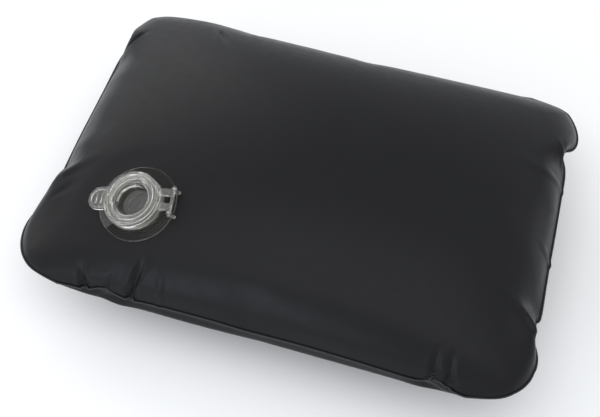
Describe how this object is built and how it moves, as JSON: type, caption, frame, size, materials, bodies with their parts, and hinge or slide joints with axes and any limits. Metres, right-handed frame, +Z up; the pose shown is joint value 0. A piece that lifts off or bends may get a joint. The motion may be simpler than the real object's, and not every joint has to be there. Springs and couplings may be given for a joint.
{
  "type": "inflatable camp pillow",
  "caption": "Air-filled rectangular camp pillow with welded edges and a clear capped valve near one corner.",
  "frame": {"origin": "middle of the face that the pillow rests on", "axes": "+X along the pillow's long side, +Y across it away from the valve, +Z up out of the resting face"},
  "size_m": [0.36, 0.26, 0.0998],
  "materials": {
    "coated_fabric": "satin black coated fabric, tight and smooth",
    "weld_bead": "melted and trimmed black coating",
    "clear_vinyl": "clear, slightly warm soft vinyl",
    "silicone": "translucent soft silicone"
  },
  "bodies": {
    "root": {"top_panel": "coated_fabric", "bottom_panel": "coated_fabric", "edge_weld": "weld_bead", "valve_base": "clear_vinyl", "check_seat": "clear_vinyl"},
    "cap": {"valve_cap": "clear_vinyl", "cap_straps": "clear_vinyl", "hinge_bar": "clear_vinyl"},
    "flap": {"check_flap": "silicone"}
  },
  "joints": [
    {"name": "cap_hinge", "type": "hinge", "parent": "root", "child": "cap", "pos_m": [-0.07393, -0.07178, 0.09469], "axis": [-0.1369, 0.9743, 0.1788], "range_deg": [0, 160]},
    {"name": "flap_lift", "type": "slide", "parent": "root", "child": "flap", "axis": [-0.2419, -0.2079, 0.9478], "range_m": [-0.0025, 0], "stiffness_N_per_m": 10, "springref_m": 0.001}
  ]
}
